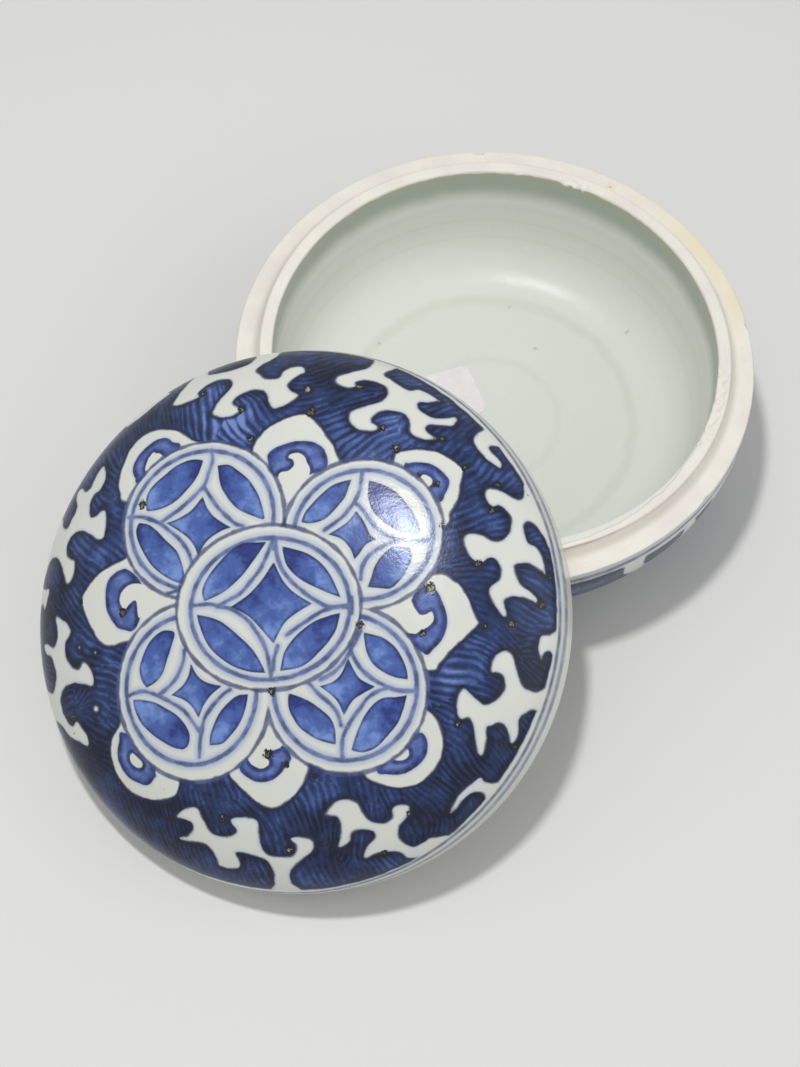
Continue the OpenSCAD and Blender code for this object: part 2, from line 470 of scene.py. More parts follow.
CLOUD_BLUE = """
-0.3,18.1 -0.6,19.7 -0.8,21 0.1,21.9 1.7,22.5 3.6,22.8 5.6,22.5 6.9,21.6 7.5,20.3 7.5,19 6.8,18.3 3,17.6;
19.2,1.4 20.6,2.4 21.9,1.9 22.7,0.5 23.2,-0.9 23.4,-2.3 23.1,-3.7 22.5,-4.9 21.5,-5.9 20.4,-6.6 18,-4
18.3,-1;
17.8,18.8 18.5,19.2 19.9,19.3 21.5,19 22.9,18.1 23.8,16.9 23.8,15.8 23.3,14.7 22.4,13.6 18,14;
-13.8,23.3 -15,24.2 -16.3,25 -17.6,25 -19.1,24.2 -20.3,23.1 -21,21.8 -21.1,20.4 -20.5,19.3 -20,18.6 -16,19;
-20.6,6.3 -21.9,6.4 -23.3,5.7 -24.1,4.5 -24.3,2.9 -24.1,1.1 -23.3,-0.3 -22.3,-1.5 -21.1,-1.9 -19.8,-2
-18.7,-0.4 -18.5,4;
-22.2,-15.6 -22.8,-17 -23.3,-18.5 -23.1,-20.2 -22.2,-21.7 -20.9,-22.5 -19.6,-23 -18.6,-22.9 -17.7,-22.1
-17.3,-21.4 -18,-18;
-4.6,-19.5 -5,-20.7 -4.4,-21.7 -3.2,-22.5 -1.8,-22.7 -0.4,-22.4 0.8,-21.5 1.6,-20.5 2.3,-19.5 1,-17.9
-2,-18.5;
18.8,-16.8 19.8,-16.9 20.3,-18.1 20.2,-19.5 19.2,-20.8 17.8,-21.8 16.3,-22.2 14.7,-22.1 13.5,-21.6 14,-18
""".split(";")
CLOUD_CURL = """
0.9,18.1 2.2,18.6 3,19.3 2.8,20.1 2.2,20.5 2.6,21 3.6,21 4.4,20.5 4.8,19.5 5.2,18.3 4,15 1,15;
17.3,0.1 18.6,0.6 19.2,-0.6 19.8,-1.4 20.6,-1.4 21.4,-1 21.6,-2.1 21,-2.9 19.8,-3.5 18.9,-3.9 17,-3;
19.9,17.2 20.4,17.5 21.1,17.3 21.6,16.8 21.5,16.1 20.6,15.6 19.4,16.2;
-18.9,20.2 -18.8,21.8 -18.4,22.5 -18,23 -17.6,22.7 -17,22.7 -16.4,22.2 -15.9,21.7 -17,20;
-19.2,4.3 -20.5,4.2 -21.5,3.5 -21.9,2.3 -21.6,1.3 -21.1,0.9 -20.5,1.5 -19.6,2.1 -19.2,1.6 -19.1,0.5
-18.7,-0.4 -16,0.6 -15,2 -17,3.5;
-20.9,-18.6 -20.3,-18.9 -19.4,-19.8 -19.4,-20.4 -20.1,-20.6 -21,-20.1 -21.3,-19.2;
-3.7,-19 -3.4,-20.1 -2.6,-20.7 -1.6,-20.8 -0.8,-20.2 -1.1,-19.4 -1.3,-18.8 0.2,-18.4 1,-17.8 -0.5,-16 -1,-15
-2.2,-16.6;
17.6,-18.8 17.8,-19.6 17.2,-20.2 16.3,-20.3 15.7,-20 16.4,-19
""".split(";")

# White foam left between the waves. Outlines that run to the rim close under its white band.
FOAM = """
-16.5,30.6 -15,30.3 -13.5,30.6 -12,31.3 -12.4,32 -11.6,33.1 -10.3,33.8 -8.2,33.8 -7.3,33 -7.4,32 -8.5,30.4
-9.4,28.8 -9.5,27.9 -8.2,27.2 -6.6,27.2 -5.4,27.7 -5.2,28.3 -6.1,29 -6.5,29.6 -5.8,30.5 -4,31.2 -2.4,30.9
-1.6,30 -1.1,28.8 -0.6,28 0.5,28 1.9,28.7 3,29.6 2.8,30.1 1.9,30.6 1.4,31.2 1.4,32 2.6,33.3 3.4,33.9
3.2,34.8 2.3,35.3 1,35.1 0.1,34.3 -0.2,33.3 -0.8,33 -2.2,33.3 -3.2,34.2 -3.9,35.1 -3.2,36.2 -2.2,37.1
-1.4,38.6 -1.5,42 -5.5,42 -5.2,38.6 -5.6,36.9 -7.2,36.1 -9.5,35.8 -11.9,36 -12.5,37.3 -13,39 -14,42 -18,41
-16.4,38.6 -15.3,36.9 -15.4,34.8 -16.1,32.5;
7.9,32.7 7.8,32 8.5,31.2 9.7,30.7 10.8,30.9 11.1,31.3 10.8,31.8 11.6,32.2 13,32.1 14.5,31.5 15.2,30.6
15.1,29.4 14,28.4 11.9,27.7 10.4,27 10.1,26.3 10.4,25.1 11.6,24.1 13,23.8 14.1,24 14.2,24.7 13.3,25.4
13.8,26.3 14.7,26.9 16.4,27 17.8,26.5 18.4,25.3 18.4,23.9 19.2,23 20.7,22.6 22.1,22.8 21.6,23.4 20.8,24.1
20.7,24.6 21.4,25 23,25 24.5,25.2 25.2,26.3 24.7,26.9 23,26.3 21.6,26.3 20.7,26.8 19.7,27.7 19.7,28.7
21.1,28.9 22.8,29.4 22.6,29.7 21.1,30.7 19.5,31.4 18.3,30.9 17,31.8 15.7,32.8 14.8,33.7 16,35.4 17.5,38.5
12.5,40.5 12.9,37.6 12.1,34.9 10.2,34 8.3,33.2;
28.9,25.8 27.8,24.4 27.2,23.2 27.8,21.8 29,20.3 30.5,19.3 31.1,19.1 31.4,20 30.7,21 29.7,22 29.8,22.6
31,22.9 33,23.8 35,25 31,29;
28.6,15.3 28.9,13.9 29.7,13.1 30.5,13.5 31.4,12.9 32.2,11.4 31.9,9.8 31,8.7 29.7,8.5 28.2,9.2 26.8,9.4
25.8,9 25.6,8.1 26.1,6.7 27.2,5.6 28.2,5.4 28.8,6 29.7,6 30.5,4.8 30.3,3.2 29.1,2.2 28.9,1 29.7,-0.5
30.7,-1.8 31.3,-1.6 31,0.1 31.8,0.8 32.8,0.9 34.6,0.4 35.6,0 35.5,0.8 34.6,1.7 33.3,2.6 32.8,3.9 32.5,5
33.3,5.4 34.6,5.4 36,4.7 37.1,4 37.1,5.1 36.8,6.7 35.8,7.9 34.6,8.4 34.2,9.5 34.1,10.9 34.9,11.4 36,10.9
37.2,9.6 38.2,8 40.8,9 39,16 36,19.5 34.7,17.6 34.4,15.8 33.9,14.9 32.8,14.8 31.1,15.6 29.4,16;
39.5,-4 37.4,-4.1 36.1,-4.4 35.6,-5.8 35.8,-7.4 36.3,-7.8 36.6,-6.9 37.4,-6.5 38,-7.1 38.2,-8.5 37.9,-10
36.8,-11.4 35.2,-11.9 33.6,-11.3 32.7,-9.6 32.2,-7.7 31.8,-6.6 30.7,-6.3 29.6,-6.9 28.9,-8 28.9,-9.2
29.6,-9.2 30.5,-9.7 30.7,-11.1 29.9,-12.4 28.3,-13.3 27.1,-12.7 26.1,-11.8 25.2,-11.1 24.4,-12.1 24.2,-13.9
24.7,-15.2 25.8,-15.2 26.4,-16.4 26.6,-18.9 27.1,-20.2 27.7,-20 28.2,-18.3 28.2,-16.4 28.8,-16.3 30,-16
31,-16.8 31.4,-18.6 32.1,-18.9 32.8,-17.7 32.7,-15.8 33.8,-14.9 35,-14.6 36.1,-15.5 36.6,-17 37,-19 38,-20
40.5,-10;
22.8,-28.2 23.2,-26.9 24.5,-25.1 26.4,-23.7 27.3,-23.3 27.9,-24 29.8,-24.4 31.5,-23.8 33.5,-23 35,-25
31.5,-28 30.4,-26.9 28.9,-27.9 28.2,-27.2 27.5,-25.8 26,-25.5 24.8,-26.3 23.9,-27.6;
6.1,-27.2 7.3,-25.8 8.9,-25.2 10.4,-25.4 11.1,-26.2 11.4,-27.2 12.3,-28.3 13.9,-28.7 15,-28 15.3,-26.6
16.4,-26.2 17.5,-26.5 17.4,-27.6 16.5,-28.8 15.9,-30 16.2,-31.5 17.6,-32.7 19.2,-32.2 20.1,-31.6 22.6,-31.9
24.5,-33 22,-37 19.6,-36 18.5,-35.3 16.7,-34.8 16,-33.8 14.8,-33.2 12.9,-33.3 11,-34 10.8,-33.3 11.5,-31.9
12.5,-30.7 12.3,-29.8 10.8,-29.6 9.7,-30 9.2,-31.2 8.2,-31.9 7.5,-31.9 7.9,-30.4 8.2,-28.8 7.8,-27.7
6.7,-27.5;
-15,-27.2 -13.9,-26.4 -12.6,-25.9 -11.4,-26.2 -10.9,-27.6 -10.2,-29.3 -9.2,-30 -7.6,-30 -6.4,-29.6 -6.3,-29
-6.9,-28.3 -6.9,-27.6 -5.6,-27.3 -3.9,-27.4 -3.1,-28 -3,-29.6 -3.1,-31.2 -2.6,-32.5 -1.2,-33 0.8,-33
1.6,-32.3 1.7,-31.4 1.2,-30.5 2.4,-30.2 3.8,-30.4 4.4,-31.2 4,-32.3 2.7,-33.4 1.3,-34.7 0.3,-35.9 0.2,-37.6
1.2,-40.5 -3.8,-40.5 -2.6,-38 -2.2,-35.8 -2.6,-34 -3.9,-33.2 -5.6,-32.7 -6.9,-32.6 -6.6,-33.7 -7,-35
-8.7,-35.4 -10.2,-34.8 -10.2,-33.4 -10.6,-32.3 -11.4,-31.5 -13.1,-31.2 -15.3,-30.8 -15,-30.4 -13.9,-30.1
-12.8,-29.1 -12.8,-28.2 -13.9,-27.7 -14.8,-27.6;
-33.5,1 -32.3,0.3 -31.2,-0.3 -30.3,-1.5 -30.7,-2.2 -31.5,-3.3 -31.5,-4.7 -30.5,-6.2 -29.2,-6.7 -28.3,-5.8
-27.3,-6.3 -26.4,-8 -26.7,-9.3 -28.3,-9 -30.3,-8.8 -32.2,-9.5 -33.3,-11 -33.2,-12.7 -32.3,-14.2 -31.3,-14.8
-30.3,-14.1 -29.3,-15 -28.4,-16.3 -28.6,-17.6 -30.3,-17.2 -32.7,-16.5 -34.3,-15 -36,-14.6 -38,-14 -39.5,-8
-37.6,-9.6 -35.5,-10 -34.2,-8.3 -34.3,-6.3 -35,-5 -36.3,-4.5 -37.2,-3.2 -36,-2.8 -34.3,-3.5 -33.5,-2.7
-33.3,-1.3 -33.8,0.3;
-27,22.5 -26.3,21.5 -26,20 -26.7,18.5 -27.8,17.7 -28.2,16.3 -27.8,14.8 -27,14.6 -25.8,15.2 -25,15 -24.7,13
-25,11.2 -26,11 -27.7,12 -29.7,12.7 -31.2,12.2 -32,11 -31.8,9.7 -31,8.9 -30,8.3 -30,6.7 -30.8,5.3 -31.7,5.3
-32.3,6.7 -33.2,8.3 -34.3,9.3 -35.7,9.5 -37.2,8.8 -38,7.5 -40.5,7 -39,15 -36.3,16 -35,15.7 -34,14.2
-32.7,13.8 -31.8,15.3 -31.2,16.8 -32,18 -32.3,19.5 -31,19.8 -30,19 -29,19.3 -28.5,20.7 -27.8,22;
-40,5.6 -37.2,5.3 -35.8,5 -36,3.3 -37,2 -38,3 -40.2,2.6;
-18,33.9! -19.7,32.4 -21.3,31 -23,29.7 -25,29! -28,32! -22,37!
""".split(";")

# Unpainted dots in the waves: place and radius
DOTS = placed("-26.3,-12.4,.55 -28.8,-3.9,.3 -26,-4.7,.2")

# Iron specks in the glaze: place and radius
SPECKS = placed("""
    -19,15.3,.55 16.8,21.3,.6 14.8,24.4,.5 11.4,31,.55 22.9,22.8,.5 4.2,30.7,.7 4.9,27,.65 -5,28.2,.5
    -11.6,31.7,.45 -3.3,23.5,.5 30.4,16.5,.5 29.6,12.6,.5 27.6,5.2,.5 36.3,-.2,.6 31.8,-2.7,.55
    28.4,-3,.4 24.3,-15.8,.5 32.3,-19.5,.4 -8.1,-27.4,.5 .8,-32,.55 -.9,-19,.6 12,-2.5,.45 0,-10.7,.45
    -31,9.6,.35 -25.4,15.9,.35 -21.4,.5,.55 -31.3,-13.6,.5 26,18.7,.5 17.4,-27.5,.4 38,4.1,.5
    1.4,-20.4,.45 21.3,2,.7 20.2,-3.9,.5 19.9,17.6,.35 -16.2,-27.8,.4 -30.6,-13.2,.4 -23.8,-22.8,.35
    5,28,.4 -1.9,-26.4,.4 13.6,-33.4,.5 22.2,16.2,.4 5.3,-22,.35 -28.5,2.5,.3 30.3,-19,.35 23,10.5,.4
""")

# Directions of the wave strokes, as place and degrees. The places were chosen one by one. 21 of the
# directions are within 3 degrees of a program's measurement of the photograph. The others were set or
# corrected one by one.
STROKES = placed("""
    -10,26,-73 -7,25,-68 -13,29,-72 -20,27,-60 -4,25.5,-48 -3.5,28.5,-70 -6,28,-72 -9.6,31,-86 6,29,5
    8,27,24 10,23,32 14,22,38 8,34,20 -3,33,-5 20,21,35 25,22,45 28,19,32 25,10,15 31,12,20 27,2,-10
    35,2,-35 33,-2,-30 24,-7,-5 24,-10,-12 35,-9,-35 23,-15,-35 30,-20,-50 25,-20,-55 23,-22,-48
    21,-26,-60 15,-26,-75 20,-30,-75 4,-26,-75 7,-29,-85 5,-33,80 -5,-25,-70 -8,-31,85 -16,-27,-80
    -22,-25,-78 -26,-18,-30 -27,-14,-37 -30,-11,20 -25,-8,-18 -28,-1,-40 -26,8,-35 -24,15,-38 -31,16,-58
    -32,6,-50 -36,0,-40 -14,34,-60 18,29,20
""")

# Where the waves' wash is paler, and where it is darker: place, radius and amount
PALE_SPOTS = placed("""
    -5.5,27,3.2,1.1 -10,27,3.5,.65 -12,31,3,.4 14,23,5,.5 9,24,3,.3 24,-9,4,.4 -27,-3,4,.25 -26,8,4,.4
    26,10,4,.1 24,-14,3,.2 -24,-8,3,.2 4,-24,3,.2 -20,27,5,-.5 8,34,5,-.5 -9,38,4,-.7 35,-9,5,-.4
    30,-20,5,-.4 21,-27,5,-.4 7,-31,5,-.3 -16,-28,5,-.4 -22,-25,4,-.3 -28,-20,5,-.5 -36,0,5,-.5
    -31,7,4,-.2
""")


def brush_direction(places):
    """The wave strokes' direction at each place, as a unit vector, blended from the nearest ones."""
    total = np.zeros((len(places), 2))
    for place, degrees in STROKES:
        weight = 1 / (((places - place) ** 2).sum(1) + 3) ** 1.5
        doubled = math.radians(2 * degrees)
        total += weight[:, None] * [math.cos(doubled), math.sin(doubled)]
    half = np.arctan2(total[:, 1], total[:, 0]) / 2
    return np.cos(half), np.sin(half)


def paleness(places):
    """How much paler than usual the waves' wash is at each place, negative where it is darker."""
    pale = np.zeros(len(places))
    for centre, radius, amount in PALE_SPOTS:
        pale += amount * np.exp(-((places - centre) ** 2).sum(1) / radius ** 2)
    return pale


def fill_tone(places, fills, which):
    """How far each place lies towards its fill's dark side, about -1 to 1."""
    tone = np.zeros(len(places))
    for number, (shape, degrees) in enumerate(fills):
        middle = outline(shape).mean(axis=0)
        size = outline(shape).std(0).max() * 1.6
        turn = math.radians(degrees)
        mine = which == number
        tone[mine] = (places[mine] - middle) @ [math.cos(turn), math.sin(turn)] / size
    return tone


# Half widths of the coins' inner ring line and of their other lines
RING_LINE = 0.31
PETAL_LINE = 0.28


def coin_ink(places, coin):
    """Distance to a coin's outer line, and from the ink of its other lines."""
    centre, half, inner_centre, inner_half = COINS[coin]
    outer = ellipse_distance(places, centre, half)
    inner = abs(ellipse_distance(places, inner_centre, inner_half)) - RING_LINE
    lines = stroke_distance(places, COIN_LINES[coin]) - PETAL_LINE
    return outer, np.minimum(inner, lines)


def paint_lid(piece, places, radius, painted):
    """Writes the painting's distances on the lid's mesh, for the points where it is painted."""
    spots = places[painted]
    central, ink = coin_ink(spots, 0)
    fill, which = area_distance(spots, [shape for shape, _ in COIN_FILLS[0]])
    tone = fill_tone(spots, COIN_FILLS[0], which)
    write_painted(piece, "central", painted, (ink, REACH), (fill, REACH), (tone, 0))

    outer = np.full(len(spots), REACH)
    ink = np.full(len(spots), REACH)
    for coin in range(1, len(COINS)):
        line_distance, coin_lines = coin_ink(spots, coin)
        outer = np.minimum(outer, line_distance)
        ink = np.where(line_distance < 0.6, np.minimum(ink, coin_lines), ink)
    fills = [fill for coin in COIN_FILLS[1:] for fill in coin]
    fill, which = area_distance(spots, [shape for shape, _ in fills])
    tone = fill_tone(spots, fills, which)
    write_painted(piece, "outer", painted, (ink, REACH), (fill, REACH), (tone, 0))
    write_painted(piece, "coins", painted, (central, REACH), (outer, REACH), (paleness(spots), 0))

    clouds = [area_distance(spots, shapes)[0] for shapes in (CLOUD_WHITE, CLOUD_BLUE, CLOUD_CURL)]
    write_painted(piece, "clouds", painted, *[(distance, REACH) for distance in clouds])
    paint_waves(piece, places, radius, painted)


# The white band by the rim is painted a little off centre: its inner radius, and its middle's place
BAND_START = 39.8
BAND_SHIFT = (-1.2, 0.1)
# The shift fades away over this width, and is gone this far out along the skin
SHIFT_FADE = 4
SHIFT_END = 46


def painted_radius(places, length):
    """How far out each place is in the rim's painting. The shift fades away at the rim itself."""
    fade = np.clip((SHIFT_END - length) / SHIFT_FADE, 0, 1)
    turn = np.arctan2(places[:, 1], places[:, 0])
    return length - fade * (BAND_SHIFT[0] * np.cos(turn) + BAND_SHIFT[1] * np.sin(turn))


def paint_waves(piece, places, radius, painted):
    """Writes the foam's distance and the wave strokes' direction."""
    spots = places[painted]
    foam = area_distance(spots, FOAM)[0]
    for centre, size in DOTS:
        foam = np.minimum(foam, np.hypot(*(spots - centre).T) - size)
    ripple = 0.3 * np.sin(5 * np.arctan2(spots[:, 1], spots[:, 0]) + 1)
    foam = np.minimum(foam, np.maximum(BAND_START + ripple - radius[painted], -REACH))
    along_u, along_v = brush_direction(spots)
    write_painted(piece, "waves", painted, (foam, -REACH), (along_u, 1), (along_v, 0))


def speck_distance(places, specks):
    """Distance to the edge of the nearest speck, at most REACH."""
    found = np.full(len(places), REACH)
    for centre, radius in specks:
        found = np.minimum(found, np.hypot(*(places - centre).T) - radius)
    return found


# Materials

def srgb(red, green, blue):
    """A colour as a screen shows it, 0 to 255, in the linear values that shaders take."""
    def linear(value):
        value /= 255
        return value / 12.92 if value <= 0.04045 else ((value + 0.055) / 1.055) ** 2.4
    return (linear(red), linear(green), linear(blue), 1.0)


class Value:
    """An output of a shader node. Arithmetic with it adds Math nodes to its tree."""

    def __init__(self, socket):
        self.socket = socket
        self.nodes = socket.id_data.nodes

    def math(self, kind, *others):
        node = self.nodes.new("ShaderNodeMath")
        node.operation = kind
        for socket, value in zip(node.inputs, (self, *others)):
            feed(socket, value)
        return Value(node.outputs[0])

    __add__ = partialmethod(math, "ADD")
    __sub__ = partialmethod(math, "SUBTRACT")
    __mul__ = partialmethod(math, "MULTIPLY")
    __truediv__ = partialmethod(math, "DIVIDE")
    __abs__ = partialmethod(math, "ABSOLUTE")
    most = partialmethod(math, "MAXIMUM")

    def step(self, low, high):
        """0 at low and 1 at high, smoothly; low may be the larger."""
        node = self.nodes.new("ShaderNodeMapRange")
        node.interpolation_type = "SMOOTHSTEP"
        feed(node.inputs["Value"], self)
        feed(node.inputs["From Min"], low)
        feed(node.inputs["From Max"], high)
        return Value(node.outputs["Result"])


def feed(socket, value):
    """Links a value to a socket, or sets a plain number or colour on it."""
    if isinstance(value, Value):
        socket.id_data.links.new(value.socket, socket)
    else:
        socket.default_value = value


def node_by(kind, *values):
    """A new node in the tree that the first linked value belongs to."""
    linked = next(value for value in values if isinstance(value, Value))
    return linked.nodes.new(kind)


def split(joint):
    """The three numbers of a vector."""
    node = node_by("ShaderNodeSeparateXYZ", joint)
    feed(node.inputs[0], joint)
    return [Value(output) for output in node.outputs]


def vector(x, y, z=0.0):
    """A vector from three numbers."""
    node = node_by("ShaderNodeCombineXYZ", x, y, z)
    for socket, value in zip(node.inputs, (x, y, z)):
        feed(socket, value)
    return Value(node.outputs[0])


def attribute(tree, name):
    """The three numbers that the mesh holds under a name."""
    node = tree.nodes.new("ShaderNodeAttribute")
    node.attribute_name = name
    return split(Value(node.outputs["Vector"]))


def noise(place, scale, detail=2.0, roughness=0.5):
    """Smooth noise, about 0 to 1."""
    node = node_by("ShaderNodeTexNoise", place)
    feed(node.inputs["Vector"], place)
    node.inputs["Scale"].default_value = scale
    node.inputs["Detail"].default_value = detail
    node.inputs["Roughness"].default_value = roughness
    return Value(node.outputs["Fac"])


def mix(amount, first, second):
    """A colour between two."""
    node = node_by("ShaderNodeMix", amount, first, second)
    node.data_type = "RGBA"
    for number, value in ((0, amount), (6, first), (7, second)):
        feed(node.inputs[number], value)
    return Value(node.outputs[2])


def cells(place, scale, dimensions):
    """The place of the nearest of some scattered points, its distance in cells, and a number of its own."""
    node = node_by("ShaderNodeTexVoronoi", place)
    node.voronoi_dimensions = dimensions
    feed(node.inputs["Vector"], place)
    node.inputs["Scale"].default_value = scale
    own = split(Value(node.outputs["Color"]))[0]
    return Value(node.outputs["Position"]), Value(node.outputs["Distance"]), own


def skin_place(tree):
    """The point's place in its piece, in millimetres."""
    node = tree.nodes.new("ShaderNodeTexCoord")
    scale = tree.nodes.new("ShaderNodeVectorMath")
    scale.operation = "SCALE"
    scale.inputs["Scale"].default_value = 1 / MM
    tree.links.new(node.outputs["Object"], scale.inputs[0])
    return Value(scale.outputs[0])


def new_material(name):
    """A material, its tree and its shader."""
    material = bpy.data.materials.new(name)
    material.use_nodes = True
    return material, material.node_tree, material.node_tree.nodes["Principled BSDF"]


def add_relief(shader, height):
    """Bumps on a shader's surface, their height in millimetres."""
    bump = shader.id_data.nodes.new("ShaderNodeBump")
    bump.inputs["Distance"].default_value = MM
    feed(bump.inputs["Height"], height)
    feed(shader.inputs["Normal"], Value(bump.outputs["Normal"]))


GLAZE_WHITE = srgb(212, 215, 207)
GLAZE_BLUISH = srgb(200, 207, 212)
GLAZE_CREAM = srgb(214, 213, 200)
# Darker green of glaze pooled in rings and streaks, also used as painted shade in the band under the lip
GLAZE_POOL_AND_SHADE = srgb(161, 171, 155)
INSIDE_WHITE = srgb(222, 225, 217)
GLAZE_OLIVE = srgb(190, 186, 148)
BLEED_BLUE = srgb(150, 168, 204)
LINE_LIGHT = srgb(104, 121, 164)
LINE_DARK = srgb(52, 64, 112)
OUTLINE_BLUE = srgb(28, 36, 72)
OUTLINE_BLACK = srgb(20, 24, 32)
WASH_LIGHT = srgb(114, 143, 204)
WASH_MID = srgb(68, 93, 160)
WASH_DARK = srgb(38, 53, 118)
CLOUD_LIGHT = srgb(108, 128, 186)
CLOUD_MID = srgb(64, 84, 148)
WAVE_PALE = srgb(114, 132, 188)
WAVE_LIGHT = srgb(66, 89, 146)
WAVE_MID = srgb(32, 49, 92)
WAVE_DEEP = srgb(10, 18, 40)
RIM_LINE = srgb(60, 76, 112)
IRON_DARK = srgb(24, 26, 26)
IRON_BROWN = srgb(104, 94, 72)
IRON_PALE_AND_GLINT = srgb(178, 173, 152)
BISCUIT = srgb(233, 230, 220)
BISCUIT_PINK = srgb(226, 220, 213)
BISCUIT_STAIN = srgb(230, 219, 180)
BISCUIT_GREY = srgb(192, 187, 172)
GLAZE_EDGE = srgb(156, 142, 116)
LIP_LINE = srgb(186, 160, 142)
RUST = srgb(190, 146, 92)
PAPER_WHITE = srgb(240, 234, 235)
PAPER_PINK = srgb(233, 228, 231)
PAPER_GREY = srgb(206, 200, 204)
FLOOR_GREY = srgb(226, 226, 224)
BACKDROP_WHITE = srgb(236, 236, 234)

# Distance between two wave strokes, and the size of a group of them
WAVE_PITCH = 0.75
WAVE_PATCH = 8.0
# How far out in the painting the rim's two lines lie
FINE_LINE = 40.8
BROAD_LINE = 42.8
# Half width of the painted outlines
OUTLINE_HALF = 0.25
# Cells for each millimetre, one in four with a fine black speck
SPECK_CELLS = 0.3
# Radii of the two rings that the wheel left inside the bowl
OUTER_RING = 22.3
INNER_RING = 11


def wave_colour(u, v, along_u, along_v, pale, shore):
    """Parallel brush strokes, soft and dark on a wash, in groups that differ in turn, bow and spacing."""
    flat = vector(u, v)
    bend_u = noise(flat, 0.12, 1.0) - 0.5
    bend_v = noise(vector(v, u, 7.0), 0.12, 1.0) - 0.5
    moved = vector(u + bend_u * 5.0, v + bend_v * 5.0)
    cell_place, _, own = cells(moved, 1 / WAVE_PATCH, "2D")
    cell_u, cell_v, _ = split(cell_place)
    turn = (own - 0.5) * 0.4
    cosine = turn.math("COSINE")
    sine = turn.math("SINE")
    stroke_u = along_u * cosine - along_v * sine
    stroke_v = along_u * sine + along_v * cosine
    from_u = u - cell_u
    from_v = v - cell_v
    along = from_u * stroke_u + from_v * stroke_v
    bow = along * along * (own - 0.4) * 0.06
    sway = (noise(flat, 0.16, 2.0) - 0.5) * 1.6
    spacing = own * 0.35 + pale * 0.4 + WAVE_PITCH
    across = (from_v * stroke_u - from_u * stroke_v + bow + sway) / spacing + own * 9.0
    number = across.math("FLOOR")
    beside = abs(across.math("FRACT") - 0.5) * 2.0
    press = noise(vector(number * 5.3, along * 0.26, own * 40.0), 1.0, 1.0)
    fine = noise(vector(across * 1.6, along * 0.35, own * 20.0), 1.0, 3.0, 0.6)
    width = press * 1.2 - pale.most(0.0) * 0.12 - 0.1
    stroke = beside.step(width + 0.5, width - 0.5)
    water = noise(flat, 0.45, 3.0, 0.6) - 0.5
    pool = (noise(flat, 0.13, 2.0) + water * 0.25).step(0.3, 0.66)
    bold = noise(flat, 0.16, 2.0).step(0.35, 0.65) * 0.3 + pale.most(0.0) * 0.55 + 0.16
    grain = noise(flat, 1.5, 3.0, 0.7) - 0.5
    depth = stroke * bold + pool * 0.3 + fine.step(0.25, 0.8) * 0.25 + water * 0.5 + grain * 0.5
    depth = depth + shore.step(1.3, 0.2) * 0.25 - pale * 0.8 + 0.04
    colour = mix(depth.step(0.1, -0.35), WAVE_LIGHT, WAVE_PALE)
    colour = mix(depth.step(0.0, 0.5), colour, WAVE_MID)
    return mix(depth.step(0.42, 0.95), colour, WAVE_DEEP)


def glaze_white(place):
    """Clear glaze over white porcelain, with faint bluish and cream clouds."""
    cloud = noise(place, 0.08, 3.0)
    white = mix(cloud.step(0.35, 0.7) * 0.5, GLAZE_WHITE, GLAZE_CREAM)
    return mix(noise(place, 0.2, 2.0).step(0.4, 0.75) * 0.3, white, GLAZE_BLUISH)


def line_colour(place):
    """The blue of a fine line, paler where the brush was dry."""
    return mix(noise(place, 0.5, 3.0).step(0.3, 0.68), LINE_LIGHT, LINE_DARK)


def washed_fill(place, fill, tone):
    """A petal's wash, in two or three overlapping tones with a darker rim."""
    patch = tone * 0.8 + (noise(place, 0.42, 2.0) - 0.5) * 2.6
    grain = noise(place, 2.0, 3.0, 0.6) - 0.5
    light = (patch + grain * 0.8).step(-0.95, 0.1)
    dark = (patch + grain * 0.8).step(0.05, 0.85)
    wash = mix(light, WASH_LIGHT, WASH_MID)
    wash = mix(dark, wash, WASH_DARK)
    press = noise(place, 0.6, 2.0).step(0.3, 0.65) * 0.5 + 0.4
    rim = (fill + grain * 0.16).step(-0.5, -0.1)
    return mix(rim * press, wash, OUTLINE_BLUE)


def coin_colour(place, white, ink, fill, tone, wobble):
    """One coin: bluish white, fine lines that bleed a little, and washed petals."""
    wash = washed_fill(place, fill + wobble, tone)
    bleed = (ink + wobble).step(0.9, 0.0).most((fill + wobble).step(0.7, 0.1) * 0.6)
    colour = mix(bleed * 0.6, white, BLEED_BLUE)
    press = (noise(place, 0.6, 2.0) - 0.5) * 0.22
    colour = mix((ink + wobble + press).step(0.16, -0.16) * 0.92, colour, line_colour(place))
    return mix((fill + wobble).step(0.09, -0.09), colour, wash)


def cloud_colour(place, white, blue, curl, wobble):
    """A cloud-head petal: white, a dark-edged blue inside, and a white curl."""
    inside = blue + wobble
    grain = noise(place, 2.2, 3.0)
    patch = noise(place, 0.45, 2.0) + (grain - 0.5) * 0.2
    wash = mix(patch.step(0.3, 0.65) * 0.8 + 0.1, CLOUD_LIGHT, CLOUD_MID)
    edge = (inside + (grain - 0.5) * 0.3).step(-1.1, -0.3)
    near_curl = (curl + (grain - 0.5) * 0.6).step(0.8, 0.3)
    dark = mix(noise(place, 0.9, 2.0).step(0.4, 0.65), WASH_DARK, OUTLINE_BLACK)
    wash = mix(edge.most(near_curl) * 0.85, wash, dark)
    colour = mix(inside.step(0.5, 0.0) * 0.4, white, BLEED_BLUE)
    colour = mix(inside.step(0.1, -0.1), colour, wash)
    return mix((curl + wobble).step(0.1, -0.1), colour, white)


def outlined(place, below, above, distance, ink, half):
    """Two colours that meet in a brushed outline: above where the distance is negative."""
    both = mix(distance.step(0.1, -0.1), below, above)
    press = noise(place, 0.4, 3.0).step(0.25, 0.75)
    reach = press * half + half * 0.5
    return mix(abs(distance - 0.12).step(reach + 0.2, reach - 0.14) * 0.88, both, ink)


